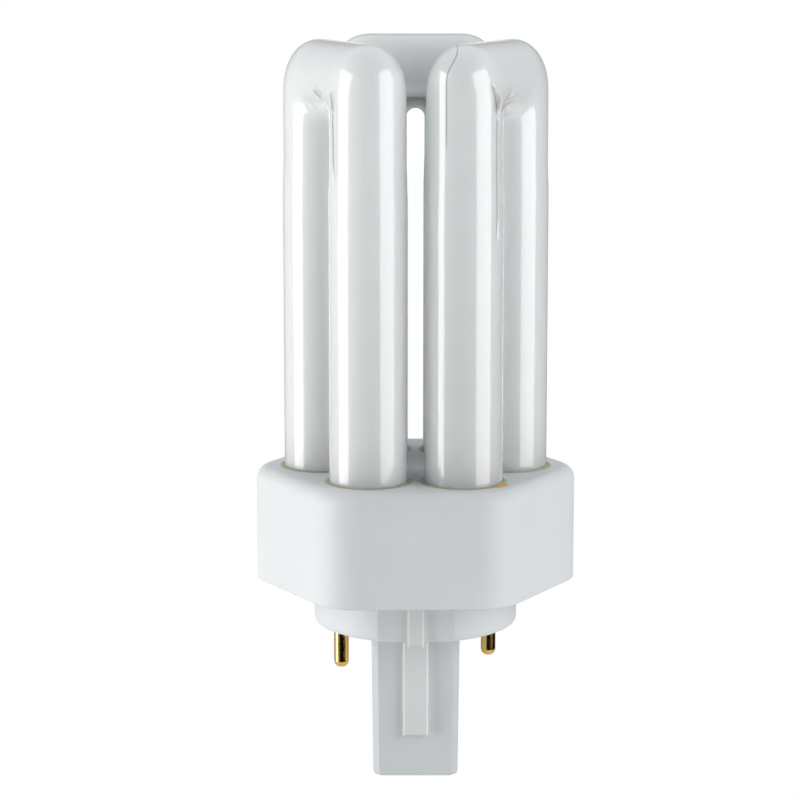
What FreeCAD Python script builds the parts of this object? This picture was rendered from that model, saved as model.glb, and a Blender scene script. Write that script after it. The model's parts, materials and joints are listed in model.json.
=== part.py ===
"""Plug-in compact fluorescent lamp: three U tubes, a six-sided housing and a two-pin cap.

Units are millimetres. The origin is the centre of the collar's lower face, where the lamp seats
in its holder. +Z runs up the tubes, and -Y is the front, the side of the nearer contact pin.
"""
import FreeCAD
import Part
import math
import os

# Glass tubes
TUBE_DIAMETER = 11.8
LEG_GAP = 2.5
TUBE_TOP = 90.0
TUBE_FOOT = 16.5
NECK_DEPTH = 0.15
NECK_BOTTOM = 66.0
NECK_TOP = 72.0
BRIDGE_DIAMETER = 4.2
END_CHAMFER = 2.4
PINCH_TAPER = 3.0
PINCH_LENGTH = 2.4
PINCH_THICKNESS = 2.6
EXHAUST_DIAMETER = 3.0
EXHAUST_LENGTH = 2.2
EXHAUST_TIP_CHAMFER = 0.8

# Housing
HOUSING_MARGIN = 3.4
HOUSING_CORNER_RADIUS = 7.8
HOUSING_TOP = 24.5
HOUSING_BOTTOM = 7.0
HOUSING_WALL = 1.5
HOUSING_ROOF = 1.7
HOUSING_SHOULDER = 2.0
INNER_CHAMFER = 0.9
SOCKET_WALL = 1.1
SOCKET_DEPTH = 2.0
REBATE_DEPTH = 0.45
REBATE_HEIGHT = 2.0

# Cement round the tubes
CEMENT_GAP = 0.6
CEMENT_RISE = 0.3
CEMENT_CLEARANCE = 0.04
BLOB_LENGTH = 2.2
BLOB_HEIGHT = 0.7
BLOB_HEADING = -25.0
BLOB_LEGS = (2, 3)

# Cap: floor and collar
FLOOR_THICKNESS = 1.6
FLOOR_CLEARANCE = 0.1
COLLAR_RADIUS = 15.7
COLLAR_WALL = 1.9
COLLAR_FLOOR = 1.8
COLLAR_EDGE_RADIUS = 0.8
CHORD_DISTANCE = 14.6
COLLAR_RIB_WIDTH = 2.5
COLLAR_RIB_REACH = 0.75
COLLAR_RIB_TAIL = 0.5

# Cap: centre post
POST_WIDTH = 13.7
POST_DEPTH = 13.2
POST_LENGTH = 23.8
POST_TAPER = 0.3
POST_CHAMFER = 1.0
POST_EDGE_RADIUS = 0.9
POST_WALL = 1.3
POST_FLOOR = 1.4
POST_RIB_WIDTH = 3.9
POST_RIB_REACH = 0.8
POST_RIB_LENGTH = 16.8

# Contact pins
PIN_DIAMETER = 2.3
PIN_SPACING = 24.0
PIN_NUMBERS = (0, 1)
PIN_ANGLE = 197.0
PIN_LENGTH = 6.8
PIN_TIP_RADIUS = 0.95
PIN_TIP_STEPS = 3
PIN_TIP_WALL = 1.2
PIN_SHANK_DIAMETER = 1.8
PIN_SEAT_HEIGHT = 0.1
PIN_BORE = 1.2
PIN_FIT = 0.02
PIN_FLANGE_DIAMETER = 3.4
PIN_FLANGE_THICKNESS = 0.5
PIN_NECK = 1.2
BOSS_WALL = 1.3
BOSS_HEIGHT = 1.6

# Lead wires
WIRE_DIAMETER = 0.5
MITRED_CORNERS = 1
WIRE_CLEARANCE = 0.6
WIRE_END_GAP = 0.1
WIRE_IN_PIN = 4.0
LEAD_SPREAD = 2.2

# Starter and capacitor in the post
STARTER_DIAMETER = 5.4
STARTER_LENGTH = 14.5
STARTER_CHAMFER = 1.2
STARTER_PINCH_HEIGHT = 2.2
STARTER_PINCH_THICKNESS = 1.4
STARTER_PINCH_WIDTH = 3.8
STARTER_LEAD_SPREAD = 0.9
COMPONENT_GAP = 1.4
CAPACITOR_WIDTH = 7.0
CAPACITOR_HEIGHT = 8.5
CAPACITOR_CHAMFER = 0.7
CHAMFER_SHARE = 0.3
CAPACITOR_LEAD_SPREAD = 2.6
INSIDE_CLEARANCE = 0.15
JOINT_HEIGHT = 1.5
JOINT_DROP = 1.5

SIDES = 6
SIDE_TURN = 360 / SIDES
OVERLAP = 1.0
TUBE_RADIUS = TUBE_DIAMETER / 2
NECK_RADIUS = TUBE_RADIUS - NECK_DEPTH
LEG_SPACING = TUBE_DIAMETER + LEG_GAP
LEG_CIRCLE_RADIUS = LEG_SPACING / 2 / math.sin(math.radians(SIDE_TURN / 2))
U_RADIUS = LEG_CIRCLE_RADIUS * math.cos(math.radians(SIDE_TURN / 2))
PINCHED_LEGS = (1, 2)
EXHAUST_LEG = 4
HOLE_RADIUS = TUBE_RADIUS + CEMENT_GAP
HOUSING_APOTHEM = U_RADIUS + HOLE_RADIUS + HOUSING_MARGIN
PINCH_END = TUBE_FOOT - PINCH_TAPER - PINCH_LENGTH
ROOF_UNDERSIDE = HOUSING_TOP - HOUSING_ROOF
ROOF_MIDDLE = HOUSING_TOP - HOUSING_ROOF / 2
FLOOR_TOP = HOUSING_BOTTOM + REBATE_HEIGHT
FLOOR_UNDERSIDE = FLOOR_TOP - FLOOR_THICKNESS
BOSS_TOP = COLLAR_FLOOR + BOSS_HEIGHT
WIRE_RADIUS = WIRE_DIAMETER / 2
POST_ROOM = POST_WIDTH - 2 * POST_WALL - 2 * POST_TAPER
CAPACITOR_THICKNESS = POST_ROOM - STARTER_DIAMETER - 2 * INSIDE_CLEARANCE - COMPONENT_GAP


def vec(x, y, z=0.0):
    return FreeCAD.Vector(x, y, z)


def polar(radius, degrees, z=0.0):
    angle = math.radians(degrees)
    return vec(radius * math.cos(angle), radius * math.sin(angle), z)


def leg_angle(number):
    """Heading of a tube leg, counted round the ring from the left one, front legs next."""
    return 180 + SIDE_TURN * number


def cylinder(radius, low, high, centre=None):
    place = vec(0, 0, low) if centre is None else vec(centre.x, centre.y, low)
    return Part.makeCylinder(radius, high - low, place)


def block(width, depth, low, high, y_centre=0.0):
    """Box centred on the YZ plane."""
    return Part.makeBox(width, depth, high - low, vec(-width / 2, y_centre - depth / 2, low))


def turned(shape, degrees, centre=None):
    """Copy of a shape turned about a vertical axis, then moved to a centre."""
    copy = shape.copy()
    copy.rotate(vec(0, 0), vec(0, 0, 1), degrees)
    if centre is not None:
        copy.translate(vec(centre.x, centre.y))
    return copy


def edges_at(shape, z):
    """Edges that lie wholly in one horizontal plane."""
    return [edge for edge in shape.Edges
            if abs(edge.BoundBox.ZMin - z) < 0.001 and abs(edge.BoundBox.ZMax - z) < 0.001]


def hexagon_prism(apothem, corner_radius, low, high):
    """Six-sided prism with rounded corners and a flat to the front."""
    inner = apothem - corner_radius
    half = inner * math.tan(math.radians(SIDE_TURN / 2))
    edges = []
    for side in range(SIDES):
        heading = 90 + SIDE_TURN * side
        face_middle = polar(apothem, heading, low)
        along = polar(half, heading + 90)
        corner = polar(inner, heading, low) + along
        start = face_middle - along
        end = face_middle + along
        middle = corner + polar(corner_radius, heading + SIDE_TURN / 2)
        finish = corner + polar(corner_radius, heading + SIDE_TURN)
        edges.append(Part.LineSegment(start, end).toShape())
        edges.append(Part.Arc(end, middle, finish).toShape())
    return Part.Face(Part.Wire(edges)).extrude(vec(0, 0, high - low))


def wire_solid(points):
    """Round wire along straight runs, mitred where it turns."""
    heading = (points[1] - points[0]).normalize()
    section = Part.Wire([Part.Circle(points[0], heading, WIRE_RADIUS).toShape()])
    return Part.makePolygon(points).makePipeShell([section], True, True, MITRED_CORNERS)


def u_bend_tube():
    """One U in the XZ plane: two legs with a slight neck, joined by a bar with round outer corners."""
    axis_height = TUBE_TOP - NECK_RADIUS
    pieces = []
    for x in (-LEG_SPACING / 2, LEG_SPACING / 2):
        leg = vec(x, 0)
        pieces.append(cylinder(TUBE_RADIUS, TUBE_FOOT, NECK_BOTTOM, leg))
        pieces.append(Part.makeCone(TUBE_RADIUS, NECK_RADIUS, NECK_TOP - NECK_BOTTOM,
                                    vec(x, 0, NECK_BOTTOM)))
        pieces.append(cylinder(NECK_RADIUS, NECK_TOP, axis_height, leg))
        pieces.append(Part.makeSphere(NECK_RADIUS, vec(x, 0, axis_height), vec(0, 1, 0)))
    bar = Part.makeCylinder(NECK_RADIUS, LEG_SPACING, vec(-LEG_SPACING / 2, 0, axis_height), vec(1, 0, 0))
    return bar.fuse(pieces).removeSplitter()


def closed_end(number):
    """Closed lower end of a leg, with the stub of the pumping tube on one of them."""
    centre = polar(LEG_CIRCLE_RADIUS, leg_angle(number))
    low = TUBE_FOOT - END_CHAMFER
    end = cylinder(TUBE_RADIUS, low, TUBE_FOOT + OVERLAP, centre)
    end = end.makeChamfer(END_CHAMFER, edges_at(end, low))
    if number == EXHAUST_LEG:
        stub = cylinder(EXHAUST_DIAMETER / 2, low - EXHAUST_LENGTH, low + OVERLAP, centre)
        end = end.fuse(stub.makeChamfer(EXHAUST_TIP_CHAMFER, edges_at(stub, low - EXHAUST_LENGTH)))
    return end


def pinched_end(number):
    """Lower end of an electrode leg, pressed flat round its two wires."""
    half_pinch = PINCH_THICKNESS / 2
    taper_end = TUBE_FOOT - PINCH_TAPER
    outline = [
        vec(-TUBE_RADIUS, TUBE_RADIUS, TUBE_FOOT), vec(-TUBE_RADIUS, half_pinch, taper_end),
        vec(-TUBE_RADIUS, half_pinch, PINCH_END), vec(-TUBE_RADIUS, -half_pinch, PINCH_END),
        vec(-TUBE_RADIUS, -half_pinch, taper_end), vec(-TUBE_RADIUS, -TUBE_RADIUS, TUBE_FOOT),
    ]
    face = Part.Face(Part.makePolygon(outline + outline[:1]))
    pressed = face.extrude(vec(TUBE_DIAMETER, 0, 0)).common(cylinder(TUBE_RADIUS, PINCH_END, TUBE_FOOT))
    return turned(pressed, leg_angle(number) + 90, polar(LEG_CIRCLE_RADIUS, leg_angle(number)))


def discharge_tube():
    """Three Us round the ring, joined in a row by two bridges near their feet."""
    solid = None
    for first_leg in range(0, SIDES, 2):
        heading = leg_angle(first_leg + 0.5)
        u_tube = turned(u_bend_tube(), heading + 90, polar(U_RADIUS, heading))
        solid = u_tube if solid is None else solid.fuse(u_tube)
    bridge_height = TUBE_FOOT + BRIDGE_DIAMETER / 2
    for first_leg in range(PINCHED_LEGS[1] + 1, SIDES, 2):
        heading = leg_angle(first_leg + 0.5)
        bridge = Part.makeCylinder(BRIDGE_DIAMETER / 2, LEG_SPACING,
                                   vec(-LEG_SPACING / 2, 0, bridge_height), vec(1, 0, 0))
        solid = solid.fuse(turned(bridge, heading + 90, polar(U_RADIUS, heading)))
    for number in range(SIDES):
        end = pinched_end(number) if number in PINCHED_LEGS else closed_end(number)
        solid = solid.fuse(end)
    return solid


def housing():
    """Six-sided shell, open below, with a socket in its roof for each leg."""
    shell = hexagon_prism(HOUSING_APOTHEM, HOUSING_CORNER_RADIUS, HOUSING_BOTTOM, HOUSING_TOP)
    shell = shell.makeFillet(HOUSING_SHOULDER, edges_at(shell, HOUSING_TOP))
    hollow = hexagon_prism(HOUSING_APOTHEM - HOUSING_WALL, HOUSING_CORNER_RADIUS - HOUSING_WALL,
                           HOUSING_BOTTOM, ROOF_UNDERSIDE)
    hollow = hollow.makeChamfer(INNER_CHAMFER, edges_at(hollow, ROOF_UNDERSIDE))
    step = HOUSING_WALL - REBATE_DEPTH
    rebate = hexagon_prism(HOUSING_APOTHEM - step, HOUSING_CORNER_RADIUS - step, HOUSING_BOTTOM, FLOOR_TOP)
    legs = [polar(LEG_CIRCLE_RADIUS, leg_angle(number)) for number in range(SIDES)]
    sockets = [cylinder(HOLE_RADIUS + SOCKET_WALL, ROOF_UNDERSIDE - SOCKET_DEPTH, ROOF_MIDDLE, leg)
               for leg in legs]
    holes = [cylinder(HOLE_RADIUS, HOUSING_BOTTOM, HOUSING_TOP + OVERLAP, leg) for leg in legs]
    shell = shell.cut(hollow).cut(rebate).fuse(sockets)
    return shell.cut(holes).removeSplitter()


def cement_ring(number):
    """Bead of cement in the gap round one leg, with a lump where too much was laid."""
    centre = polar(LEG_CIRCLE_RADIUS, leg_angle(number))
    inner = TUBE_RADIUS + CEMENT_CLEARANCE
    outer = HOLE_RADIUS - CEMENT_CLEARANCE
    low = ROOF_UNDERSIDE - SOCKET_DEPTH
    profile = [
        vec(inner, 0, low), vec(outer, 0, low), vec(outer, 0, HOUSING_TOP),
        vec(inner, 0, HOUSING_TOP + CEMENT_RISE),
    ]
    ring = Part.Face(Part.makePolygon(profile + profile[:1])).revolve(vec(0, 0), vec(0, 0, 1), 360)
    if number in BLOB_LEGS:
        sweep = math.degrees(BLOB_LENGTH / outer)
        lump = Part.makeCylinder(outer + BLOB_HEIGHT, BLOB_HEIGHT,
                                 vec(0, 0, HOUSING_TOP), vec(0, 0, 1), sweep)
        lump = lump.cut(cylinder(inner, HOUSING_TOP - OVERLAP, HOUSING_TOP + BLOB_HEIGHT + OVERLAP))
        ring = ring.fuse(turned(lump, BLOB_HEADING - sweep / 2)).removeSplitter()
    return turned(ring, 0, centre)


def tapered_post(inset, chamfer, low):
    """Post with cut corners, a little narrower at its foot, drawn in all round by an inset."""
    x = POST_WIDTH / 2 - inset
    y = POST_DEPTH / 2 - inset
    post = Part.makeWedge(-x, -COLLAR_FLOOR, -y, POST_TAPER - y, POST_TAPER - x,
                          x, -low, y, y - POST_TAPER, x - POST_TAPER)
    post.rotate(vec(0, 0), vec(1, 0, 0), -90)
    upright = [edge for edge in post.Edges if edge.BoundBox.ZLength > OVERLAP]
    return post.makeChamfer(chamfer, upright)


def pin_place(number):
    return polar(PIN_SPACING / 2, PIN_ANGLE + 180 * number)


def cap():
    """Housing floor, collar and post in one moulding, alike when turned by half a turn."""
    collar = cylinder(COLLAR_RADIUS, 0, FLOOR_TOP)
    collar = collar.makeFillet(COLLAR_EDGE_RADIUS, edges_at(collar, 0))
    step = HOUSING_WALL - REBATE_DEPTH + FLOOR_CLEARANCE
    floor = hexagon_prism(HOUSING_APOTHEM - step, HOUSING_CORNER_RADIUS - step, FLOOR_UNDERSIDE, FLOOR_TOP)
    chord_cut = Part.makeBox(2 * COLLAR_RADIUS, COLLAR_RADIUS, FLOOR_UNDERSIDE + OVERLAP,
                             vec(-COLLAR_RADIUS, -CHORD_DISTANCE - COLLAR_RADIUS, -OVERLAP))
    collar_rib = block(COLLAR_RIB_WIDTH, 2 * COLLAR_RIB_REACH, -COLLAR_RIB_TAIL, FLOOR_UNDERSIDE,
                       -CHORD_DISTANCE)
    post_rib = block(POST_RIB_WIDTH, 2 * POST_RIB_REACH + 2 * POST_TAPER, -POST_RIB_LENGTH, COLLAR_FLOOR,
                     -POST_DEPTH / 2 + POST_TAPER)
    collar = collar.cut([chord_cut, turned(chord_cut, 180)])
    post = tapered_post(0, POST_CHAMFER, -POST_LENGTH)
    post = post.makeFillet(POST_EDGE_RADIUS, edges_at(post, -POST_LENGTH))
    solid = collar.fuse([floor, post, collar_rib, turned(collar_rib, 180), post_rib, turned(post_rib, 180)])
    solid = solid.cut(cylinder(COLLAR_RADIUS - COLLAR_WALL, COLLAR_FLOOR, FLOOR_TOP + OVERLAP))
    pins = [pin_place(number) for number in PIN_NUMBERS]
    bosses = [cylinder(PIN_DIAMETER / 2 + BOSS_WALL, 0, BOSS_TOP, pin) for pin in pins]
    shank_hole = PIN_SHANK_DIAMETER / 2 + PIN_FIT
    bores = [cylinder(shank_hole, -OVERLAP, BOSS_TOP + OVERLAP, pin) for pin in pins]
    seats = [Part.makeCone(PIN_DIAMETER / 2 + PIN_FIT, shank_hole, PIN_SEAT_HEIGHT, pin) for pin in pins]
    flange_rooms = [cylinder(PIN_FLANGE_DIAMETER / 2 + FLOOR_CLEARANCE, BOSS_TOP, FLOOR_TOP + OVERLAP, pin)
                    for pin in pins]
    hollow = tapered_post(POST_WALL, POST_CHAMFER / 2, POST_FLOOR - POST_LENGTH)
    return solid.fuse(bosses).cut(bores + seats + flange_rooms + [hollow]).removeSplitter()


def contact_pin(number):
    """Hollow pin with a closed round tip and a conical shoulder, riveted over its boss."""
    radius = PIN_DIAMETER / 2
    shank = PIN_SHANK_DIAMETER / 2
    flange_top = BOSS_TOP + PIN_FLANGE_THICKNESS
    tip_centre = PIN_TIP_RADIUS - PIN_LENGTH
    outline = [vec(0, 0, -PIN_LENGTH)]
    for step in range(PIN_TIP_STEPS + 1):
        angle = math.radians(90 * step / PIN_TIP_STEPS)
        outline.append(vec(radius - PIN_TIP_RADIUS * (1 - math.sin(angle)), 0,
                           tip_centre - PIN_TIP_RADIUS * math.cos(angle)))
    outline += [
        vec(radius, 0, -PIN_SEAT_HEIGHT), vec(shank, 0, 0),
        vec(shank, 0, BOSS_TOP), vec(PIN_FLANGE_DIAMETER / 2, 0, BOSS_TOP),
        vec(PIN_FLANGE_DIAMETER / 2, 0, flange_top), vec(shank, 0, flange_top),
        vec(shank, 0, flange_top + PIN_NECK), vec(PIN_BORE / 2, 0, flange_top + PIN_NECK),
        vec(PIN_BORE / 2, 0, PIN_TIP_WALL - PIN_LENGTH), vec(0, 0, PIN_TIP_WALL - PIN_LENGTH),
    ]
    pin = Part.Face(Part.makePolygon(outline + outline[:1])).revolve(vec(0, 0), vec(0, 0, 1), 360)
    return turned(pin, 0, pin_place(number))


def starter_place():
    """Centre of the starter bottle, close to the post's left wall."""
    return vec(STARTER_DIAMETER / 2 + INSIDE_CLEARANCE - POST_ROOM / 2, 0)


def post_bottom_inside():
    return POST_FLOOR - POST_LENGTH + INSIDE_CLEARANCE


def glow_starter():
    """Glass bottle with a flat pinch on top and two leads."""
    centre = starter_place()
    low = post_bottom_inside()
    high = low + STARTER_LENGTH
    bottle = cylinder(STARTER_DIAMETER / 2, low, high, centre)
    bottle = bottle.makeChamfer(STARTER_CHAMFER, edges_at(bottle, low) + edges_at(bottle, high))
    pinch = block(STARTER_PINCH_WIDTH, STARTER_PINCH_THICKNESS, high - OVERLAP, high + STARTER_PINCH_HEIGHT)
    leads = [cylinder(WIRE_RADIUS, high, JOINT_HEIGHT, centre + vec(side * STARTER_LEAD_SPREAD, 0))
             for side in (-1, 1)]
    return bottle.fuse([turned(pinch, 0, centre)] + leads).removeSplitter()


def starter_capacitor():
    """Dipped film capacitor whose leads reach over to the starter's leads."""
    centre = vec(POST_ROOM / 2 - INSIDE_CLEARANCE - CAPACITOR_THICKNESS / 2, 0)
    low = post_bottom_inside()
    body = block(CAPACITOR_THICKNESS, CAPACITOR_WIDTH, low, low + CAPACITOR_HEIGHT)
    chamfer = min(CAPACITOR_CHAMFER, CHAMFER_SHARE * CAPACITOR_THICKNESS)
    body = turned(body.makeChamfer(chamfer, body.Edges), 0, centre)
    leads = []
    for side, height in ((-1, JOINT_HEIGHT - JOINT_DROP), (1, JOINT_HEIGHT - 2 * JOINT_DROP)):
        foot = centre + vec(0, side * CAPACITOR_LEAD_SPREAD, low + CAPACITOR_HEIGHT - OVERLAP)
        bend = vec(foot.x, foot.y, height)
        target = starter_place() + vec(side * STARTER_LEAD_SPREAD, 0, height)
        away = (bend - target).normalize() * (WIRE_DIAMETER + WIRE_END_GAP)
        leads.append(wire_solid([foot, bend, target + away]))
    return body.fuse(leads)


def electrode_lead(number, side):
    """Where a wire leaves the pinch of one electrode leg."""
    heading = leg_angle(number)
    middle = polar(LEG_CIRCLE_RADIUS, heading, PINCH_END - WIRE_END_GAP)
    return middle + polar(side * LEAD_SPREAD, heading + 90)


def lead_wire(number):
    """Wires 1 and 3 run to the pins, 2 and 4 down into the post to the starter's leads."""
    left = number in (1, 2)
    leg = PINCHED_LEGS[0] if left else PINCHED_LEGS[1]
    to_pin = number in (1, 3)
    outward = -1 if left == to_pin else 1
    start = electrode_lead(leg, outward)
    shelf = FLOOR_TOP + WIRE_CLEARANCE + WIRE_RADIUS
    drop = vec(start.x, start.y, shelf)
    if to_pin:
        pin = pin_place(0 if left else 1)
        above = vec(pin.x, pin.y, shelf)
        return wire_solid([start, drop, above, vec(pin.x, pin.y, -WIRE_IN_PIN)])
    lead = starter_place() + vec((-1 if left else 1) * STARTER_LEAD_SPREAD, 0)
    above = vec(lead.x, lead.y, shelf)
    return wire_solid([start, drop, above, vec(lead.x, lead.y, JOINT_HEIGHT + WIRE_END_GAP)])


def all_parts():
    parts = {"discharge_tube": discharge_tube(), "housing": housing(), "cap": cap()}
    for number in range(SIDES):
        parts["cement_ring_%d" % (number + 1)] = cement_ring(number)
    for number in PIN_NUMBERS:
        parts["contact_pin_%d" % (number + 1)] = contact_pin(number)
    for number in (1, 2, 3, 4):
        parts["lead_wire_%d" % number] = lead_wire(number)
    parts["glow_starter"] = glow_starter()
    parts["starter_capacitor"] = starter_capacitor()
    return parts


def main():
    os.makedirs("parts", exist_ok=True)
    for name, shape in all_parts().items():
        solid = shape.Solids[0] if len(shape.Solids) == 1 else shape
        solid.exportStep("parts/%s.step" % name)
        print(name, "valid" if solid.isValid() else "INVALID", len(shape.Solids), "%.2f" % solid.Volume)


if __name__ == "__main__":
    main()
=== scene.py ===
"""Plug-in compact fluorescent lamp in plain studio light.

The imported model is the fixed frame. Lengths are written in millimetres and turned into metres
where they meet Blender. +Z runs up the tubes and -Y is the front.
"""
import bpy
import json
import math
import numpy as np
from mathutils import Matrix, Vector

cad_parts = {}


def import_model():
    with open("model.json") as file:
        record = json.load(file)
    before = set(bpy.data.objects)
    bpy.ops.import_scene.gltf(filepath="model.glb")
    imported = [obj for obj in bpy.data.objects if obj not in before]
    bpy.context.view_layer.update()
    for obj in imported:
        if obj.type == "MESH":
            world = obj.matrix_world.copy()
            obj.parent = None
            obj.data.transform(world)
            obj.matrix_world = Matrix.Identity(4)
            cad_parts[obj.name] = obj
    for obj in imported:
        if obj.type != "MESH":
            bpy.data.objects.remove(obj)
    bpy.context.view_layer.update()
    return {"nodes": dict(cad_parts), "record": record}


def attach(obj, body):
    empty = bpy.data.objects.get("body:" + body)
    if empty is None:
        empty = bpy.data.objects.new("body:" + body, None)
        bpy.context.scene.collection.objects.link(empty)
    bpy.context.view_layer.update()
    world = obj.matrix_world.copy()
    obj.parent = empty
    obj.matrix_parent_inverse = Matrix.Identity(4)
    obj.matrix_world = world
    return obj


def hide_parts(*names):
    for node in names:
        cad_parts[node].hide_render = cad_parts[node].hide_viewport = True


MM = 0.001
TINY = 1e-6
BODY = "root"

# Glass tubes
TUBE_RADIUS = 5.9
NECK_RADIUS = 5.75
NECK_BOTTOM = 66.0
NECK_TOP = 72.0
LEG_SPACING = 14.3
TUBE_TOP = 90.0
TUBE_FOOT = 16.5
END_CHAMFER = 2.4
PINCH_BOTTOM = 11.1
PINCH_THICKNESS = 2.6
PINCH_FLAT = 2.4
BRIDGE_RADIUS = 2.1
BRIDGE_ROOT = 0.8
EXHAUST_RADIUS = 1.5
EXHAUST_BOTTOM = 11.9
LEG_COUNT = 6
PINCHED_LEGS = (1, 2)
EXHAUST_LEG = 4
RING_POINTS = 96
LEG_RINGS = 60
BEND_RINGS = 72
END_RINGS = 4
ROD_POINTS = 24

# Marks in the glass
# Painted shade: a grey band at the back bend's crotch, on its inner side
SHADE_BAND_TOP = 80.6
SHADE_BAND_BOTTOM = 78.9
SHADE_BAND_HALF_WIDTH = 3.2
SHADE_BAND_LEG = 4
# Painted shade: the glass darkens towards the feet, fully on the front legs away from the middle and less
# elsewhere
FOOT_TOP = 84.0
REAR_FOOT_SHADE = 0.3
FOOT_SHADE_FROM = 1.2
FOOT_SHADE_FULL = 5.0
FOLD_HALF_WIDTH = 0.18
FOLD_REACH = 1.0
FOLD_START_FADE = 0.4
# Share of a fold's length over which its far end fades
FOLD_END_FADE = 0.35
# Folds pressed in at the bends: for each U's first leg, along and height of both ends, strength.
# Leg 4 begins the back U, whose folds and stain are guessed.
FOLDS = {
    0: ((0.6, 83.1, 3.2, 81.6, 0.8), (6.3, 83.0, 6.95, 80.0, 1.0), (6.9, 81.2, 7.1, 70.0, 1.0),
        (-3.3, 81.6, -1.1, 79.8, 0.2)),
    2: ((-8.5, 84.2, -7.6, 79.6, 0.7), (-7.7, 79.6, -7.8, 60.0, 0.4), (-6.9, 82.8, -7.2, 80.4, 0.5),
        (-5.9, 81.5, -2.5, 82.8, 0.6), (-6.6, 80.5, 0.4, 81.8, 0.6)),
    4: ((2.0, 82.8, 4.4, 81.2, 0.5), (5.9, 82.2, 6.4, 79.8, 0.7)),
}
# Brown stains beside the folds: along, height, reach across, reach up
STAINS = {
    0: ((2.0, 82.4, 1.3, 0.8), (6.7, 81.2, 0.5, 1.3)),
    2: ((-7.8, 81.8, 0.7, 2.2), (-5.4, 80.9, 1.2, 0.7)),
    4: ((3.0, 82.0, 1.3, 0.8),),
}
# Share of its reach within which a stain is full
STAIN_LEVEL = 0.2
# A fine dark line down the front right leg: a painted reflection of a dark edge beside the left soft box
REFLECTION_LINE_PLACE = 4.37
REFLECTION_LINE_LEAN = 1.6
REFLECTION_LINE_LEAN_BOTTOM = 85.3
REFLECTION_LINE_LEAN_TOP = 89.3
REFLECTION_LINE_HALF_WIDTH = 0.09
REFLECTION_LINE_BOTTOM = 73.0
REFLECTION_LINE_FADE = 5.0
# Distance given to points that the painted reflection line does not reach
REFLECTION_LINE_NONE = 9.0

# Cement
CEMENT_INNER = 5.94
CEMENT_OUTER = 6.46
CEMENT_BOTTOM = 20.8
HOUSING_TOP = 24.5
BEAD_POINTS = 160
BEAD_ARC_POINTS = 8
BEAD_RISE = 0.15
BEAD_SPREAD = 0.03
BEAD_WANDER = 0.03
BEAD_FINE_WANDER = 0.02
LUMP_GRAIN = 0.05
# Share of its half width within which a lump is full
LUMP_LEVEL = 0.25
# For each leg: heading of the lump, its half width in degrees, how far it spreads and rises, how amber
LUMPS = ((195, 50, 0.04, 0.08, 0.1), (-24, 26, 0.06, 0.12, 0.1), (-30, 21, 0.75, 0.18, 1.0),
         (-24, 40, 0.08, 0.12, 0.2), (70, 30, 0.12, 0.14, 0.3), (140, 36, 0.12, 0.14, 0.3))

# Plastic
EDGE_RADIUS = 0.3
EDGE_SAMPLES = 6
POST_TOP = -0.02
# Cut corners of the post get painted shade
CORNER_SLANT = 0.35
# Painted highlight along the ribs' edges and painted light on their faces
RIB_EDGE_WIDTH = 0.22
RIB_FACE_MARGIN = 0.05
# For each key rib: half its width, how far out its front lies, its lower and upper ends
RIB_EDGES = ((1.95, 6.9, -16.8, -0.5), (1.25, 14.7, -0.5, 7.4))

# How strongly and how sharply the marks are painted
# Strength of the painted shade towards the feet
FOOT_SHADE_SHARE = 0.6
# Sharpness of the painted shade band under the back bend
SHADE_BAND_SHARPNESS = 6.0
PATCH_CONTRAST = 4.0
PATCH_OFFSET = -1.5
STAIN_SHARE = 0.8
FOLD_WANDER = 0.3
FOLD_CORE = 1.3
LINE_CORE = 1.6
FURROW_SLOPE = 3.0
# Strength of the painted reflection line
REFLECTION_LINE_SHARE = 0.8
# Strength of the painted shade on the post's cut corners
CORNER_SHADE_SHARE = 0.35
# Strength of the painted light on the ribs' faces and of the painted highlight on their edges
RIB_FACE_SHARE = 0.8
RIB_EDGE_SHARE = 0.9

# Colours, two where a material wavers between them as its noise goes from low to high
NOISE_LOW = 0.3
NOISE_HIGH = 0.7
GLASS_WHITE = ((0.845, 0.87, 0.885), (0.87, 0.895, 0.91))
# Painted shade towards the feet
FOOT_SHADE_GREY = (0.66, 0.66, 0.655)
# Painted shade under the back bend
SHADE_BAND_GREY = (0.50, 0.485, 0.48)
STAIN_BROWN = (0.46, 0.36, 0.22)
FOLD_BROWN = (0.38, 0.31, 0.23)
# Painted reflection line
REFLECTION_LINE_GREY = (0.30, 0.30, 0.33)
HOUSING_WHITE = ((0.745, 0.77, 0.785), (0.77, 0.795, 0.81))
COLLAR_WHITE = ((0.70, 0.725, 0.74), (0.725, 0.75, 0.765))
# Painted shade on the post and its cut corners
POST_SHADE_GREY = (0.65, 0.675, 0.695)
CORNER_SHADE_GREY = (0.50, 0.535, 0.58)
# Painted light on the ribs' faces and painted highlight on their edges
RIB_FACE_LIT_WHITE = (0.745, 0.76, 0.76)
RIB_EDGE_HIGHLIGHT = (0.97, 0.97, 0.93)
THIN_CEMENT = ((0.39, 0.37, 0.28), (0.49, 0.465, 0.36))
THICK_CEMENT = ((0.50, 0.34, 0.15), (0.68, 0.47, 0.21))
BRASS = (0.86, 0.55, 0.17)
WIRE_GREY = (0.72, 0.70, 0.68)
METAL_SHADE = 0.9
CLEAR_GLASS = ((0.72, 0.78, 0.80), (0.82, 0.86, 0.87))
DIP_BROWN = ((0.50, 0.15, 0.04), (0.66, 0.24, 0.07))
FLOOR_WHITE = ((0.86, 0.86, 0.86), (0.88, 0.88, 0.88))

# Camera, from the photograph's outline
CAMERA_DISTANCE = 454.4
CAMERA_SIDE = -2.4
CAMERA_HEIGHT = 119.0
CAMERA_PITCH = 10.52
CAMERA_LENS = 135.05
SENSOR_WIDTH = 36.0

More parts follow.
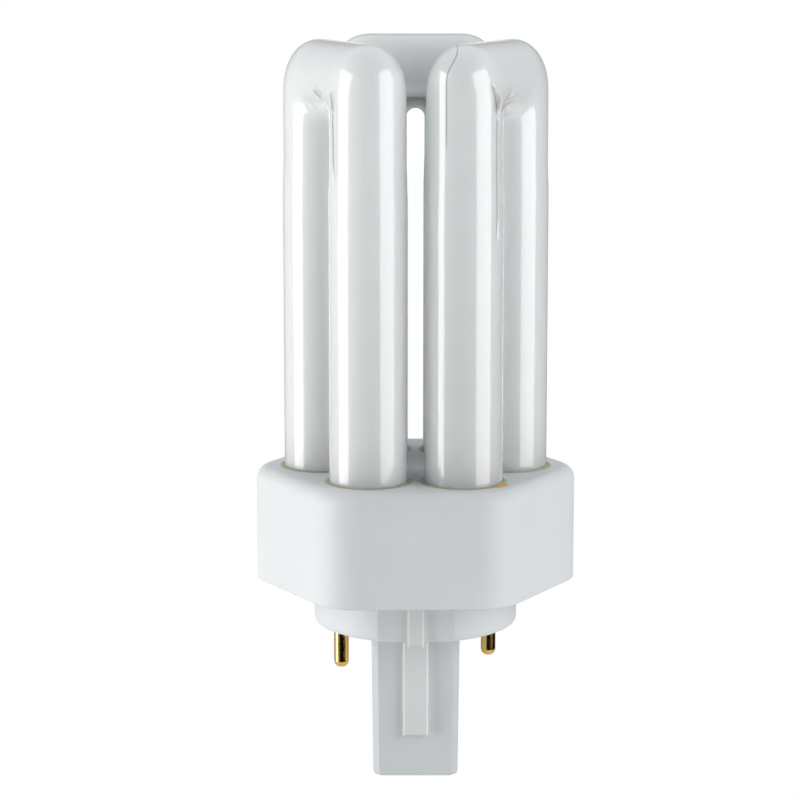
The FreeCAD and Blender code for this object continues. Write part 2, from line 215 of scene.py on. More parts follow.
# Light
LEFT_POWER = 2.15
LEFT_HEADING = -76.0
LEFT_WIDTH = 300.0
LEFT_MIDDLE = 70.0
LEFT_COLOUR = (1.0, 0.985, 0.965)
RIGHT_POWER = 2.4
RIGHT_HEADING = 58.0
RIGHT_WIDTH = 460.0
RIGHT_MIDDLE = 140.0
RIGHT_COLOUR = (0.99, 1.0, 0.995)
BOX_DISTANCE = 500.0
BOX_HEIGHT = 540.0
BOX_TARGET = (0.0, 0.0, 45.0)
SKY_COLOUR = (0.94, 0.985, 1.0, 1.0)
DOME_FROM = 0.3
DOME_SLOPE = 2.5
DOME_SHIFT = 0.5
DOME_BEHIND = 0.8
DOME_LEVEL = 0.1
LEFT_GLOW = 0.6
BACK_GLOW = 0.3
GLOW_FROM = 0.3
BACK_FROM = 0.5
BACKDROP_FROM = 0.96
BACKDROP_FADE = 0.035
FLOOR_LEVEL = -110.0
FLOOR_RADIUS = 260.0
FLOOR_POINTS = 96
FLOOR_FADE_FROM = 140.0
FLOOR_FADE_TO = 240.0


def smooth_step(low, high, value):
    share = min(max((value - low) / (high - low), 0.0), 1.0)
    return share * share * (3 - 2 * share)


def mesh_object(name, vertices, faces, body=BODY):
    """New smooth object from points in millimetres, riding on a body."""
    mesh = bpy.data.meshes.new(name)
    mesh.from_pydata([tuple(MM * value for value in vertex) for vertex in vertices], [], faces)
    mesh.validate()
    for polygon in mesh.polygons:
        polygon.use_smooth = True
    piece = bpy.data.objects.new(name, mesh)
    bpy.context.scene.collection.objects.link(piece)
    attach(piece, body)
    return piece


class Surface:
    """Points and faces gathered from several closed tubes."""

    def __init__(self):
        self.vertices = []
        self.faces = []

    def add_rings(self, rings, endless=False):
        """Closed skin over rings that have as many points each: a fan on either end, or endless."""
        first = len(self.vertices)
        count = len(rings[0])
        for ring in rings:
            self.vertices.extend(ring)
        for row in range(len(rings) if endless else len(rings) - 1):
            low = first + row * count
            high = first + (row + 1) % len(rings) * count
            for index in range(count):
                after = (index + 1) % count
                self.faces.append((low + index, low + after, high + after, high + index))
        if endless:
            return
        for row, flip in ((0, True), (len(rings) - 1, False)):
            start = first + row * count
            middle = tuple(np.mean(np.array(rings[row]), axis=0))
            self.vertices.append(middle)
            hub = len(self.vertices) - 1
            for index in range(count):
                after = (index + 1) % count
                pair = (start + after, start + index) if flip else (start + index, start + after)
                self.faces.append(pair + (hub,))


def leg_angle(number):
    return math.radians(180 + 360 / LEG_COUNT * number)


def tube_radius(z):
    return TUBE_RADIUS + (NECK_RADIUS - TUBE_RADIUS) * smooth_step(NECK_BOTTOM, NECK_TOP, z)


def ring_angles(points=RING_POINTS):
    return [2 * math.pi * index / points for index in range(points)]


def pinch_depth(z):
    """Half thickness across the pressed end of an electrode leg."""
    share = smooth_step(PINCH_BOTTOM + PINCH_FLAT, TUBE_FOOT, z)
    return PINCH_THICKNESS / 2 + (TUBE_RADIUS - PINCH_THICKNESS / 2) * share


def leg_end_rings(side, pinched):
    """Rings of one leg's lower end, from the bottom up to the foot, in the U's own frame."""
    centre = side * LEG_SPACING / 2
    rings = []
    if pinched:
        for step in range(2 * END_RINGS):
            z = PINCH_BOTTOM + (TUBE_FOOT - PINCH_BOTTOM) * step / (2 * END_RINGS)
            rings.append((z, centre, TUBE_RADIUS, pinch_depth(z)))
    else:
        for step in range(END_RINGS + 1):
            turn = math.pi / 2 * step / (END_RINGS + 1)
            z = TUBE_FOOT - END_CHAMFER * math.cos(turn)
            radius = TUBE_RADIUS - END_CHAMFER * (1 - math.sin(turn))
            rings.append((z, centre, radius, radius))
    return rings


def bend_reach(turn):
    """Distance from the crotch's centre to the U's outer silhouette, square with round corners."""
    corner = LEG_SPACING / 2
    along = math.cos(turn)
    up = math.sin(turn)
    square = NECK_RADIUS ** 2 - corner ** 2 * (up - along) ** 2
    reach = corner * (along + up) + math.sqrt(max(square, 0.0))
    side = (corner + NECK_RADIUS) / max(along, TINY)
    top = (corner + NECK_RADIUS) / max(up, TINY)
    if side * up <= corner:
        return side
    if top * along <= corner:
        return top
    return reach


def leg_ring(centre, across, depth, z):
    """One ring of a leg. With a negative reach across it runs the other way round."""
    return [(centre + across * math.cos(angle), depth * math.sin(angle), z) for angle in ring_angles()]


def u_rings(left_pinched, right_pinched):
    """Rings of one U in its own XZ plane, from the left leg's end over the bend to the right one's."""
    half_gap = LEG_SPACING / 2 - NECK_RADIUS
    pivot = TUBE_TOP - 2 * NECK_RADIUS - half_gap
    sections = []
    for side, pinched in ((-1, left_pinched), (1, right_pinched)):
        leg = leg_end_rings(side, pinched)
        for step in range(LEG_RINGS):
            z = TUBE_FOOT + (pivot - TUBE_FOOT) * step / LEG_RINGS
            radius = tube_radius(z)
            leg.append((z, side * LEG_SPACING / 2, radius, radius))
        sections.append(leg)
    rings = [leg_ring(centre, -across, depth, z) for z, centre, across, depth in sections[0]]
    for step in range(BEND_RINGS + 1):
        turn = math.pi * step / BEND_RINGS
        folded = turn if turn <= math.pi / 2 else math.pi - turn
        outer = bend_reach(folded)
        middle = (outer + half_gap) / 2
        across = (outer - half_gap) / 2
        ring = []
        for angle in ring_angles():
            reach = middle + across * math.cos(angle)
            ring.append((-reach * math.cos(turn), NECK_RADIUS * math.sin(angle),
                         pivot + reach * math.sin(turn)))
        rings.append(ring)
    for z, centre, across, depth in reversed(sections[1]):
        rings.append(leg_ring(centre, across, depth, z))
    return rings


def placed(rings, heading, radius):
    """Rings turned about the lamp's axis, so that their own XZ plane faces a heading."""
    cosine = math.cos(heading + math.pi / 2)
    sine = math.sin(heading + math.pi / 2)
    shift = (radius * math.cos(heading), radius * math.sin(heading))
    return [[(x * cosine - y * sine + shift[0], x * sine + y * cosine + shift[1], z) for x, y, z in ring]
            for ring in rings]


def rod_rings(start, end, radius):
    """Two rings of a straight round rod."""
    axis = (Vector(end) - Vector(start)).normalized()
    side = axis.orthogonal().normalized()
    up = axis.cross(side)
    return [[tuple(Vector(place) + radius * (side * math.cos(turn) + up * math.sin(turn)))
             for turn in ring_angles(ROD_POINTS)]
            for place in (start, end)]


def fold_mark(first_leg, along, z):
    """Signed distance to the nearest fold of a U in millimetres, and the fold's strength there."""
    nearest = (FOLD_REACH, FOLD_REACH, 0.0)
    for start_along, start_z, end_along, end_z, strength in FOLDS[first_leg]:
        run = math.hypot(end_along - start_along, end_z - start_z)
        forward = ((end_along - start_along) / run, (end_z - start_z) / run)
        offset = (along - start_along, z - start_z)
        place = (offset[0] * forward[0] + offset[1] * forward[1]) / run
        side = offset[0] * forward[1] - offset[1] * forward[0]
        beyond = max(-place, place - 1.0, 0.0) * run
        reach = math.hypot(side, beyond)
        if reach < nearest[0]:
            fade = smooth_step(0.0, FOLD_START_FADE, place * run)
            fade *= smooth_step(0.0, FOLD_END_FADE, 1.0 - place)
            nearest = (reach, side, strength * fade)
    return nearest[1:]


def stain_mark(first_leg, along, z):
    """How brown the glass is beside a U's folds, from 0 to 1."""
    share = 0.0
    for middle, height, across, up in STAINS[first_leg]:
        reach = math.hypot((along - middle) / across, (z - height) / up)
        share = max(share, 1 - smooth_step(STAIN_LEVEL, 1.0, reach))
    return share


def mark_glass(mesh):
    """Point values for the glass: painted shade inside the back bend and at the feet, folds, stains, and a
    painted reflection line.
    """
    names = ("shade_band", "fold", "fold_share", "stain", "foot", "reflection_line", "reflection_line_share")
    marks = {name: [] for name in names}
    u_radius = LEG_SPACING * math.cos(math.pi / LEG_COUNT)
    for vertex in mesh.vertices:
        x, y, z = (value / MM for value in vertex.co)
        shade_band = -1.0
        fold = (FOLD_REACH, 0.0)
        stain = 0.0
        for first_leg in range(0, LEG_COUNT, 2):
            heading = leg_angle(first_leg + 0.5)
            along = y * math.cos(heading) - x * math.sin(heading)
            depth = x * math.cos(heading) + y * math.sin(heading) - u_radius
            if abs(depth) > TUBE_RADIUS or abs(along) > LEG_SPACING:
                continue
            # Painted shade: a grey band at the back bend's crotch, inner side only
            if first_leg == SHADE_BAND_LEG and abs(along) < SHADE_BAND_HALF_WIDTH:
                shade_band = min(SHADE_BAND_TOP - z, z - SHADE_BAND_BOTTOM, -depth)
            if depth > TUBE_RADIUS / 3:
                fold = fold_mark(first_leg, along, z)
                stain = stain_mark(first_leg, along, z)
        marks["shade_band"].append(shade_band)
        marks["fold"].append(fold[0])
        marks["fold_share"].append(fold[1])
        marks["stain"].append(stain)
        # Painted shade: darker towards the feet, most on the front legs away from the middle
        outward = smooth_step(TUBE_RADIUS / 2, TUBE_RADIUS, -y)
        outward *= smooth_step(FOOT_SHADE_FROM, FOOT_SHADE_FULL, abs(x))
        foot_shade = REAR_FOOT_SHADE + (1 - REAR_FOOT_SHADE) * outward
        marks["foot"].append(foot_shade * (1 - smooth_step(HOUSING_TOP, FOOT_TOP, z)))
        # The fine dark line down the front right leg is a painted reflection
        marks["reflection_line"].append(reflection_line_distance(x, y, z))
        marks["reflection_line_share"].append(smooth_step(REFLECTION_LINE_BOTTOM, REFLECTION_LINE_BOTTOM + REFLECTION_LINE_FADE, z))
    for name, values in marks.items():
        mesh.attributes.new(name, "FLOAT", "POINT").data.foreach_set("value", values)


def reflection_line_distance(x, y, z):
    """Sideways distance in millimetres from the fine dark line down the front right leg, a painted
    reflection.
    """
    if z < NECK_BOTTOM or x < 0 or y > LEG_SPACING * math.sin(leg_angle(2)):
        return REFLECTION_LINE_NONE
    lean = REFLECTION_LINE_LEAN * smooth_step(REFLECTION_LINE_LEAN_BOTTOM, REFLECTION_LINE_LEAN_TOP, z)
    return x - REFLECTION_LINE_PLACE - lean


def lump_share(number, turn):
    """How much of the lump lies at a heading: 1 at its middle, 0 beyond its ends."""
    heading, half_width = LUMPS[number][:2]
    away = abs((math.degrees(turn) - heading + 180) % 360 - 180) / half_width
    return 1 - smooth_step(LUMP_LEVEL, 1.0, away)


def bead_profile(number, turn):
    """Section of the cement round one leg at a heading: the gap's filling with a low crown."""
    spread, rise = LUMPS[number][2:4]
    lump = lump_share(number, turn)
    wander = BEAD_WANDER * math.sin(5 * turn + number)
    wander += BEAD_FINE_WANDER * math.sin(11 * turn + 2 * number)
    grain = LUMP_GRAIN * lump * math.sin(17 * turn + number)
    width = CEMENT_OUTER - CEMENT_INNER + BEAD_SPREAD + wander + (spread + grain) * lump
    height = BEAD_RISE + wander + rise * lump
    profile = [(CEMENT_INNER, CEMENT_BOTTOM), (CEMENT_OUTER, CEMENT_BOTTOM), (CEMENT_OUTER, HOUSING_TOP)]
    for step in range(BEAD_ARC_POINTS + 1):
        rest = math.pi / 2 * step / BEAD_ARC_POINTS
        profile.append((CEMENT_INNER + width * math.cos(rest), HOUSING_TOP + height * math.sin(rest)))
    return profile


def cement_beads(material):
    """Uneven amber beads round the six legs, in place of the plain CAD rings."""
    for number in range(LEG_COUNT):
        centre = [LEG_SPACING * math.cos(leg_angle(number)), LEG_SPACING * math.sin(leg_angle(number))]
        rings = []
        amber = []
        for turn in ring_angles(BEAD_POINTS):
            rings.append([(centre[0] + r * math.cos(turn), centre[1] + r * math.sin(turn), z)
                          for r, z in bead_profile(number, turn)])
            amber.extend([LUMPS[number][4] * lump_share(number, turn)] * len(rings[-1]))
        surface = Surface()
        surface.add_rings(rings, endless=True)
        node = f"cement_ring_{number + 1}"
        piece = mesh_object(f"cement_bead_{number + 1}", surface.vertices, surface.faces)
        piece.data.attributes.new("amber", "FLOAT", "POINT").data.foreach_set("value", amber)
        piece.data.materials.append(material)
        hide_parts(node)


def glass_tubes(material):
    """The three Us with their lower ends, bridges and pumping stub, in place of the CAD solid."""
    surface = Surface()
    u_radius = LEG_SPACING * math.cos(math.pi / LEG_COUNT)
    for first_leg in range(0, LEG_COUNT, 2):
        heading = leg_angle(first_leg + 0.5)
        pinched = [leg in PINCHED_LEGS for leg in (first_leg, first_leg + 1)]
        surface.add_rings(placed(u_rings(*pinched), heading, u_radius))
    bridge_height = TUBE_FOOT + BRIDGE_RADIUS
    for first_leg in range(PINCHED_LEGS[1] + 1, LEG_COUNT, 2):
        heading = leg_angle(first_leg + 0.5)
        half = LEG_SPACING / 2 - TUBE_RADIUS * BRIDGE_ROOT
        rings = rod_rings((-half, 0, bridge_height), (half, 0, bridge_height), BRIDGE_RADIUS)
        surface.add_rings(placed(rings, heading, u_radius))
    stub = LEG_SPACING * math.cos(leg_angle(EXHAUST_LEG)), LEG_SPACING * math.sin(leg_angle(EXHAUST_LEG))
    surface.add_rings(rod_rings(stub + (EXHAUST_BOTTOM,), stub + (TUBE_FOOT,), EXHAUST_RADIUS))
    piece = mesh_object("glass_tubes", surface.vertices, surface.faces)
    mark_glass(piece.data)
    piece.data.materials.append(material)
    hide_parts("discharge_tube")


class Nodes:
    """Short way to build a node tree."""

    def __init__(self, name, tree=None):
        if tree:
            self.tree = tree
            return
        self.material = bpy.data.materials.new(name)
        self.material.use_nodes = True
        self.tree = self.material.node_tree
        self.shader = self.tree.nodes["Principled BSDF"]

    def new(self, kind, **values):
        node = self.tree.nodes.new(kind)
        for name, value in values.items():
            setattr(node, name, value)
        return node

    def link(self, source, target):
        self.tree.links.new(source, target)

    def place(self):
        return self.new("ShaderNodeTexCoord").outputs["Object"]

    def noise(self, scale, detail=2.0, vector=None, distortion=0.0):
        node = self.new("ShaderNodeTexNoise")
        node.inputs["Scale"].default_value = scale
        node.inputs["Detail"].default_value = detail
        node.inputs["Distortion"].default_value = distortion
        self.link(vector if vector is not None else self.place(), node.inputs["Vector"])
        return node.outputs["Fac"]

    def ramp(self, value, low_colour, high_colour):
        node = self.new("ShaderNodeValToRGB")
        node.color_ramp.elements[0].position = NOISE_LOW
        node.color_ramp.elements[0].color = low_colour + (1.0,)
        node.color_ramp.elements[1].position = NOISE_HIGH
        node.color_ramp.elements[1].color = high_colour + (1.0,)
        self.link(value, node.inputs["Fac"])
        return node.outputs["Color"]

    def figure(self, kind, *values, clamp=False):
        node = self.new("ShaderNodeMath", operation=kind, use_clamp=clamp)
        for socket, value in zip(node.inputs, values):
            if isinstance(value, bpy.types.NodeSocket):
                self.link(value, socket)
            else:
                socket.default_value = value
        return node.outputs["Value"]

    def stripe(self, away, width, core):
        """Share of a line: full near it, falling to nothing over its width."""
        return self.figure("MULTIPLY_ADD", away, -1 / width, core, clamp=True)

    def mark(self, name):
        node = self.new("ShaderNodeAttribute", attribute_name=name)
        return node.outputs["Fac"]

    def spread(self, value, low, high):
        node = self.new("ShaderNodeMapRange")
        node.inputs["To Min"].default_value = low
        node.inputs["To Max"].default_value = high
        self.link(value, node.inputs["Value"])
        return node.outputs["Result"]

    def mix(self, share, first, second):
        node = self.new("ShaderNodeMix", data_type="RGBA")
        sockets = (node.inputs["Factor"], node.inputs["A"], node.inputs["B"])
        for socket, value in zip(sockets, (share, first, second)):
            if isinstance(value, bpy.types.NodeSocket):
                self.link(value, socket)
            else:
                socket.default_value = value if isinstance(value, float) else value + (1.0,)
        return node.outputs["Result"]

    def blend(self, share, first, second):
        node = self.new("ShaderNodeMixShader")
        self.link(share, node.inputs["Fac"])
        self.link(first, node.inputs[1])
        self.link(second, node.inputs[2])
        return node.outputs["Shader"]

    def bump(self, height, strength, distance, normal=None):
        node = self.new("ShaderNodeBump")
        node.inputs["Strength"].default_value = strength
        node.inputs["Distance"].default_value = distance
        self.link(height, node.inputs["Height"])
        if normal is not None:
            self.link(normal, node.inputs["Normal"])
        return node.outputs["Normal"]

    def set(self, **values):
        for name, value in values.items():
            self.shader.inputs[name.replace("_", " ")].default_value = value


def coated_glass():
    """Clear glass over a white coating: a white base under a smooth coat."""
    nodes = Nodes("coated_glass")
    colour = nodes.ramp(nodes.noise(scale=120.0, detail=3.0), *GLASS_WHITE)
    # Painted shade towards the feet
    foot_shade = nodes.figure("MULTIPLY", nodes.mark("foot"), FOOT_SHADE_SHARE)
    colour = nodes.mix(foot_shade, colour, FOOT_SHADE_GREY)
    # Painted shade: grey band under the back bend
    shade_band = nodes.figure("MULTIPLY_ADD", nodes.mark("shade_band"), SHADE_BAND_SHARPNESS, 0.5, clamp=True)
    colour = nodes.mix(shade_band, colour, SHADE_BAND_GREY)
    wrinkle = nodes.noise(scale=700.0, distortion=1.5)
    patches = nodes.figure("MULTIPLY_ADD", wrinkle, PATCH_CONTRAST, PATCH_OFFSET, clamp=True)
    stain = nodes.figure("MULTIPLY", nodes.mark("stain"), patches)
    colour = nodes.mix(nodes.figure("MULTIPLY", stain, STAIN_SHARE), colour, STAIN_BROWN)
    wander = nodes.figure("MULTIPLY_ADD", nodes.noise(scale=500.0), FOLD_WANDER, -FOLD_WANDER / 2)
    away = nodes.figure("ABSOLUTE", nodes.figure("ADD", nodes.mark("fold"), wander))
    line = nodes.stripe(away, FOLD_HALF_WIDTH, FOLD_CORE)
    line = nodes.figure("MULTIPLY", line, nodes.mark("fold_share"))
    colour = nodes.mix(line, colour, FOLD_BROWN)
    # Painted reflection: a fine dark line down the front right leg
    reflection_line = nodes.stripe(nodes.figure("ABSOLUTE", nodes.mark("reflection_line")), REFLECTION_LINE_HALF_WIDTH, LINE_CORE)
    reflection_line = nodes.figure("MULTIPLY", reflection_line, nodes.mark("reflection_line_share"))
    colour = nodes.mix(nodes.figure("MULTIPLY", reflection_line, REFLECTION_LINE_SHARE), colour, REFLECTION_LINE_GREY)
    nodes.link(colour, nodes.shader.inputs["Base Color"])
    ripple = nodes.bump(nodes.noise(scale=60.0, detail=1.0), strength=0.25, distance=0.0004)
    furrow = nodes.figure("MULTIPLY_ADD", away, -FURROW_SLOPE, 1.0, clamp=True)
    furrow = nodes.figure("MULTIPLY", furrow, nodes.mark("fold_share"))
    pucker = nodes.figure("MULTIPLY_ADD", nodes.mark("stain"), wrinkle, furrow)
    wrinkled = nodes.bump(pucker, strength=1.0, distance=0.0011, normal=ripple)
    nodes.link(wrinkled, nodes.shader.inputs["Normal"])
    nodes.link(wrinkled, nodes.shader.inputs["Coat Normal"])
    nodes.set(Roughness=0.35, IOR=1.5, Subsurface_Weight=0.8, Subsurface_Radius=(1.0, 1.0, 1.0),
              Subsurface_Scale=0.02, Coat_Weight=1.0, Coat_Roughness=0.03, Coat_IOR=1.6)
    return nodes.material


def grained(nodes):
    """Fine moulded grain over slightly rounded edges."""
    edges = nodes.new("ShaderNodeBevel", samples=EDGE_SAMPLES)
    edges.inputs["Radius"].default_value = EDGE_RADIUS * MM
    nodes.link(nodes.spread(nodes.noise(scale=1500.0), low=0.45, high=0.55),
               nodes.shader.inputs["Roughness"])
    grain = nodes.bump(nodes.noise(scale=4200.0), strength=0.9, distance=0.00004,
                       normal=edges.outputs["Normal"])
    nodes.link(grain, nodes.shader.inputs["Normal"])


def housing_plastic():
    """White moulded plastic with faint flow clouds."""
    nodes = Nodes("housing_plastic")
    colour = nodes.ramp(nodes.noise(scale=90.0, detail=3.0), *HOUSING_WHITE)
    nodes.link(colour, nodes.shader.inputs["Base Color"])
    grained(nodes)
    return nodes.material


def cap_plastic():
    """The same plastic, greyer on the post and its cut corners as painted shade, paler on the ribs and their
    edges as painted light and painted highlights.
    """
    nodes = Nodes("cap_plastic")
    place = nodes.new("ShaderNodeSeparateXYZ")
    nodes.link(nodes.place(), place.inputs[0])
    x, y, z = (nodes.figure("MULTIPLY", output, 1 / MM) for output in place.outputs)
    facing = nodes.new("ShaderNodeSeparateXYZ")
    nodes.link(nodes.new("ShaderNodeTexCoord").outputs["Normal"], facing.inputs[0])
    slant = nodes.figure("ABSOLUTE", nodes.figure("MULTIPLY", facing.outputs[0], facing.outputs[1]))
    # Painted shade on the post's cut corners
    cut_corner = nodes.figure("GREATER_THAN", slant, CORNER_SLANT)
    # Painted shade: the post is greyer than the collar
    post = nodes.figure("LESS_THAN", z, POST_TOP)
    colour = nodes.ramp(nodes.noise(scale=90.0, detail=3.0), *COLLAR_WHITE)
    colour = nodes.mix(post, colour, POST_SHADE_GREY)
    corner = nodes.figure("MULTIPLY", post, cut_corner)
    colour = nodes.mix(nodes.figure("MULTIPLY", corner, CORNER_SHADE_SHARE), colour, CORNER_SHADE_GREY)
    away = nodes.figure("ABSOLUTE", y)
    # Painted light on the ribs' faces and a painted highlight along their edges
    for half_width, front, low, high in RIB_EDGES:
        beside = nodes.figure("SUBTRACT", nodes.figure("ABSOLUTE", x), half_width)
        edge = nodes.stripe(nodes.figure("ABSOLUTE", beside), RIB_EDGE_WIDTH, LINE_CORE)
        face = nodes.figure("LESS_THAN", beside, RIB_FACE_MARGIN)
        for limit in (nodes.figure("GREATER_THAN", away, front), nodes.figure("GREATER_THAN", z, low),
                      nodes.figure("LESS_THAN", z, high)):
            edge = nodes.figure("MULTIPLY", edge, limit)
            face = nodes.figure("MULTIPLY", face, limit)
        colour = nodes.mix(nodes.figure("MULTIPLY", face, RIB_FACE_SHARE), colour, RIB_FACE_LIT_WHITE)
        colour = nodes.mix(nodes.figure("MULTIPLY", edge, RIB_EDGE_SHARE), colour, RIB_EDGE_HIGHLIGHT)
    nodes.link(colour, nodes.shader.inputs["Base Color"])
    grained(nodes)
    return nodes.material


def cement():
    nodes = Nodes("cement")
    cloud = nodes.noise(scale=900.0, detail=3.0)
    thin = nodes.ramp(cloud, *THIN_CEMENT)
    thick = nodes.ramp(cloud, *THICK_CEMENT)
    nodes.link(nodes.mix(nodes.mark("amber"), thin, thick), nodes.shader.inputs["Base Color"])
    nodes.link(nodes.bump(nodes.noise(scale=2500.0, detail=3.0), strength=0.6, distance=0.0001),
               nodes.shader.inputs["Normal"])
    nodes.set(Roughness=0.45)
    return nodes.material


def drawn_metal(name, colour, roughness):
    nodes = Nodes(name)
    stretch = nodes.new("ShaderNodeMapping")
    stretch.inputs["Scale"].default_value = (1.0, 1.0, 0.05)
    nodes.link(nodes.place(), stretch.inputs["Vector"])
    scratches = nodes.noise(scale=9000.0, vector=stretch.outputs["Vector"])
    nodes.link(nodes.spread(scratches, roughness - 0.05, roughness + 0.08), nodes.shader.inputs["Roughness"])
    nodes.link(nodes.bump(scratches, strength=0.15, distance=0.00001), nodes.shader.inputs["Normal"])
    dark = tuple(METAL_SHADE * value for value in colour)
    nodes.link(nodes.ramp(scratches, dark, colour), nodes.shader.inputs["Base Color"])
    nodes.set(Metallic=1.0)
    return nodes.material


def starter_glass():
    nodes = Nodes("starter_glass")
    nodes.link(nodes.ramp(nodes.noise(scale=300.0), *CLEAR_GLASS), nodes.shader.inputs["Base Color"])
    nodes.set(Roughness=0.05, IOR=1.5, Transmission_Weight=0.7)
    return nodes.material


def capacitor_dip():
    nodes = Nodes("capacitor_dip")
    nodes.link(nodes.ramp(nodes.noise(scale=400.0, detail=3.0), *DIP_BROWN),
               nodes.shader.inputs["Base Color"])
    nodes.link(nodes.bump(nodes.noise(scale=700.0), strength=0.3, distance=0.0001),
               nodes.shader.inputs["Normal"])
    nodes.set(Roughness=0.22)
    return nodes.material


def dress(frame, materials):
    """Gives each CAD node that stays its material."""
    for row in frame["record"]["subparts"]:
        node = frame["nodes"][row["node"]]
        if row["material_slot"] not in materials:
            continue
        node.data.materials.clear()
        node.data.materials.append(materials[row["material_slot"]])


def area_light(name, place, target, width, height, strength, colour):
    """Soft box that looks at a target. Sizes in millimetres, strength in watts."""
    light = bpy.data.lights.new(name, "AREA")
    light.shape = "RECTANGLE"
    light.size = width * MM
    light.size_y = height * MM
    light.energy = strength
    light.color = colour
    holder = bpy.data.objects.new(name, light)
    bpy.context.scene.collection.objects.link(holder)
    holder.location = Vector(place) * MM
    aim = (Vector(target) - Vector(place)).normalized()
    holder.rotation_euler = aim.to_track_quat("-Z", "Y").to_euler()


def around(azimuth, distance, height):
    """Place round the lamp. Azimuth 0 is the camera's side, 90 is the right."""
    turn = math.radians(azimuth)
    return (distance * math.sin(turn), -distance * math.cos(turn), height)


def lights():
    """Two soft boxes, seen as the two bright lines down each tube."""
    area_light("left_box", around(LEFT_HEADING, BOX_DISTANCE, LEFT_MIDDLE), BOX_TARGET,
               LEFT_WIDTH, BOX_HEIGHT, LEFT_POWER, LEFT_COLOUR)
    area_light("right_box", around(RIGHT_HEADING, BOX_DISTANCE, RIGHT_MIDDLE), BOX_TARGET,
               RIGHT_WIDTH, BOX_HEIGHT, RIGHT_POWER, RIGHT_COLOUR)


def world():
    """Soft light from above, behind and the left; the backdrop straight behind is mirrored white."""
    scene = bpy.context.scene
    scene.world = bpy.data.worlds.new("world")
    scene.world.use_nodes = True
    nodes = Nodes("world", scene.world.node_tree)
    heading = nodes.new("ShaderNodeSeparateXYZ")
    nodes.link(nodes.new("ShaderNodeTexCoord").outputs["Generated"], heading.inputs[0])
    x, y, z = heading.outputs
    above = nodes.figure("MULTIPLY_ADD", z, DOME_SLOPE, -DOME_SLOPE * DOME_FROM, clamp=True)
    below = nodes.figure("MULTIPLY_ADD", z, -DOME_SLOPE, -DOME_SLOPE * DOME_FROM, clamp=True)
    level = nodes.figure("SUBTRACT", 1.0, nodes.figure("ADD", above, below))
    behind = nodes.figure("ADD", y, DOME_SHIFT, clamp=True)
    dome = nodes.figure("MULTIPLY", above, nodes.figure("MULTIPLY_ADD", behind, DOME_BEHIND, DOME_LEVEL))
    flat = nodes.figure("SQRT", nodes.figure("SUBTRACT", 1.0, nodes.figure("MULTIPLY", z, z)))
    sideways = nodes.figure("DIVIDE", x, flat)
    scale = 1 / (1 - GLOW_FROM)
    left = nodes.figure("MULTIPLY_ADD", sideways, -scale, -GLOW_FROM * scale, clamp=True)
    backward = nodes.figure("DIVIDE", y, flat)
    scale = 1 / (1 - BACK_FROM)
    back = nodes.figure("MULTIPLY_ADD", backward, scale, -BACK_FROM * scale, clamp=True)
    side = nodes.figure("MULTIPLY", left, LEFT_GLOW)
    glow = nodes.figure("MULTIPLY", nodes.figure("MULTIPLY_ADD", back, BACK_GLOW, side), level)
    ambient = nodes.tree.nodes["Background"]
    ambient.inputs["Color"].default_value = SKY_COLOUR
    nodes.link(nodes.figure("ADD", dome, glow), ambient.inputs["Strength"])
    seen = nodes.new("ShaderNodeBackground")
    seen.inputs["Color"].default_value = (1.0, 1.0, 1.0, 1.0)
    path = nodes.new("ShaderNodeLightPath").outputs
    straight = nodes.figure("MULTIPLY_ADD", y, 1 / BACKDROP_FADE, -BACKDROP_FROM / BACKDROP_FADE, clamp=True)
    mirrored = nodes.figure("MULTIPLY", path["Is Glossy Ray"], straight)
    direct = nodes.figure("MAXIMUM", path["Is Camera Ray"], path["Is Transmission Ray"])
    surface = nodes.blend(nodes.figure("MAXIMUM", direct, mirrored), ambient.outputs["Background"],
                          seen.outputs["Background"])
    nodes.link(surface, nodes.tree.nodes["World Output"].inputs["Surface"])


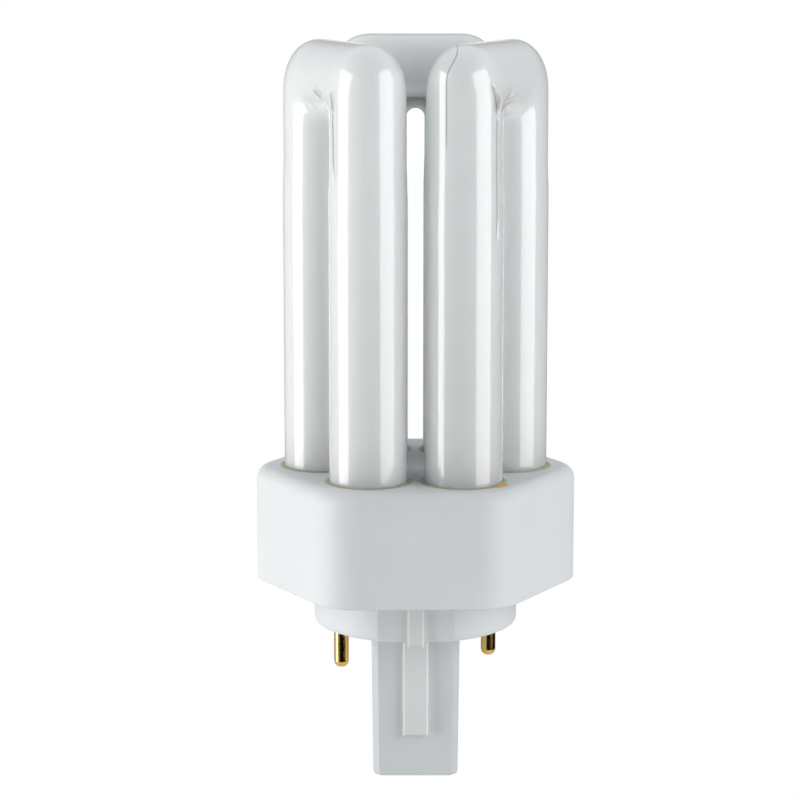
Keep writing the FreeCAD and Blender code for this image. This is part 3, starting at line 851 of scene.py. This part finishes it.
def floor():
    """Pale round floor below the lamp that keeps its shadow and fades to white."""
    vertices = [(0.0, 0.0, FLOOR_LEVEL)]
    for turn in ring_angles(FLOOR_POINTS):
        vertices.append((FLOOR_RADIUS * math.cos(turn), FLOOR_RADIUS * math.sin(turn), FLOOR_LEVEL))
    faces = [(0, 1 + index, 1 + (index + 1) % FLOOR_POINTS) for index in range(FLOOR_POINTS)]
    mesh = bpy.data.meshes.new("floor")
    mesh.from_pydata([tuple(MM * value for value in vertex) for vertex in vertices], [], faces)
    piece = bpy.data.objects.new("floor", mesh)
    bpy.context.scene.collection.objects.link(piece)
    nodes = Nodes("floor")
    nodes.set(Roughness=0.8)
    nodes.link(nodes.ramp(nodes.noise(scale=20.0), *FLOOR_WHITE), nodes.shader.inputs["Base Color"])
    length = nodes.new("ShaderNodeVectorMath", operation="LENGTH")
    nodes.link(nodes.place(), length.inputs[0])
    fade = nodes.new("ShaderNodeMapRange", interpolation_type="SMOOTHSTEP")
    fade.inputs["From Min"].default_value = FLOOR_FADE_FROM * MM
    fade.inputs["From Max"].default_value = FLOOR_FADE_TO * MM
    nodes.link(length.outputs["Value"], fade.inputs["Value"])
    path = nodes.new("ShaderNodeLightPath")
    seen = nodes.figure("MULTIPLY", fade.outputs["Result"], path.outputs["Is Camera Ray"])
    white = nodes.new("ShaderNodeEmission")
    surface = nodes.blend(seen, nodes.shader.outputs["BSDF"], white.outputs["Emission"])
    nodes.link(surface, nodes.tree.nodes["Material Output"].inputs["Surface"])
    mesh.materials.append(nodes.material)


def camera():
    scene = bpy.context.scene
    lens = bpy.data.cameras.new("camera")
    lens.lens = CAMERA_LENS
    lens.sensor_width = SENSOR_WIDTH
    holder = bpy.data.objects.new("camera", lens)
    holder.location = Vector((CAMERA_SIDE, -CAMERA_DISTANCE, CAMERA_HEIGHT)) * MM
    holder.rotation_euler = (math.radians(90 - CAMERA_PITCH), 0, 0)
    scene.collection.objects.link(holder)
    scene.camera = holder


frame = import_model()
bpy.context.scene.view_settings.view_transform = "Standard"
materials = {
    "housing_plastic": housing_plastic(),
    "cap_plastic": cap_plastic(),
    "pin_brass": drawn_metal("pin_brass", BRASS, roughness=0.1),
    "wire": drawn_metal("wire", WIRE_GREY, roughness=0.3),
    "starter_glass": starter_glass(),
    "capacitor_dip": capacitor_dip(),
}
dress(frame, materials)
glass_tubes(coated_glass())
cement_beads(cement())
camera()
lights()
world()
floor()
